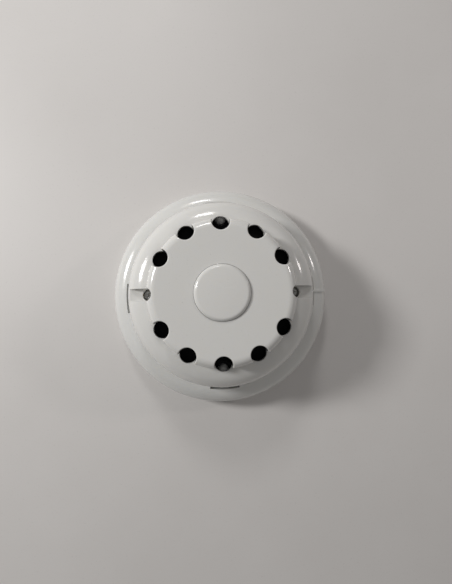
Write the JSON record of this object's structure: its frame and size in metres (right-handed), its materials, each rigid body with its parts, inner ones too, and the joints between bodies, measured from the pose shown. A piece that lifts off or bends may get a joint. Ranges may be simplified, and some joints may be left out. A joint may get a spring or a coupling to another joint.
{
  "type": "heat detector",
  "caption": "Plug-in point heat detector: ported drum head with a centre disc and domed shoulder, twist-locked into a domed mounting base.",
  "frame": {"origin": "centre of the mounting base's flat back face", "axes": "+Z along the detector's axis from the back towards its face; +Y towards 12 o'clock and +X towards the 3 o'clock alignment line, seen from the face"},
  "size_m": [0.107, 0.107, 0.0471],
  "materials": {
    "cover_white": "glossy white moulded ABS",
    "cap_white": "glossy white moulded ABS",
    "base_white": "glossy white moulded ABS",
    "housing_white": "white moulded ABS",
    "guide_black": "matt black moulded plastic",
    "contact_metal": "nickel-plated spring strip",
    "plated_steel": "zinc-plated steel",
    "rivet_brass": "turned brass",
    "screw_steel": "zinc-plated steel",
    "board_green": "green solder mask on glass-fibre board",
    "bead_epoxy": "dipped black epoxy",
    "tinned_wire": "tinned wire",
    "led_lens": "milky clear epoxy lens",
    "spacer_nylon": "natural nylon",
    "package_black": "moulded epoxy",
    "resistor_ceramic": "glazed ceramic chip",
    "capacitor_sleeve": "shrink sleeve over an aluminium can",
    "film_red": "dipped epoxy",
    "suppressor_blue": "dipped epoxy"
  },
  "bodies": {
    "base": {"mounting_base": "base_white", "contact_springs": "contact_metal", "spring_rivets": "rivet_brass", "terminal_clamps": "plated_steel", "terminal_screws": "plated_steel"},
    "head": {"front_cover": "cover_white", "centre_cap": "cap_white", "cover_screws": "screw_steel", "air_guide": "guide_black", "rear_housing": "housing_white", "board_screws": "screw_steel", "contact_blades": "contact_metal", "contact_pins": "rivet_brass", "circuit_board": "board_green", "sensor_post": "guide_black", "sensing_thermistor": "bead_epoxy", "sensing_leads": "tinned_wire", "reference_thermistor": "bead_epoxy", "reference_leads": "tinned_wire", "alarm_leds": "led_lens", "led_leads": "tinned_wire", "led_spacers": "spacer_nylon", "control_chip": "package_black", "chip_legs": "tinned_wire", "bridge_rectifier": "package_black", "bridge_legs": "tinned_wire", "transistors": "package_black", "transistor_legs": "tinned_wire", "chip_resistors": "resistor_ceramic", "electrolytic_capacitors": "capacitor_sleeve", "capacitor_leads": "tinned_wire", "film_capacitor": "film_red", "surge_suppressor": "suppressor_blue", "through_leads": "tinned_wire"}
  },
  "joints": [
    {"name": "head_twist", "type": "hinge", "parent": "base", "child": "head", "pos_m": [0, 0, 0.02], "axis": [0, 0, 1], "range_deg": [0, 22]}
  ]
}
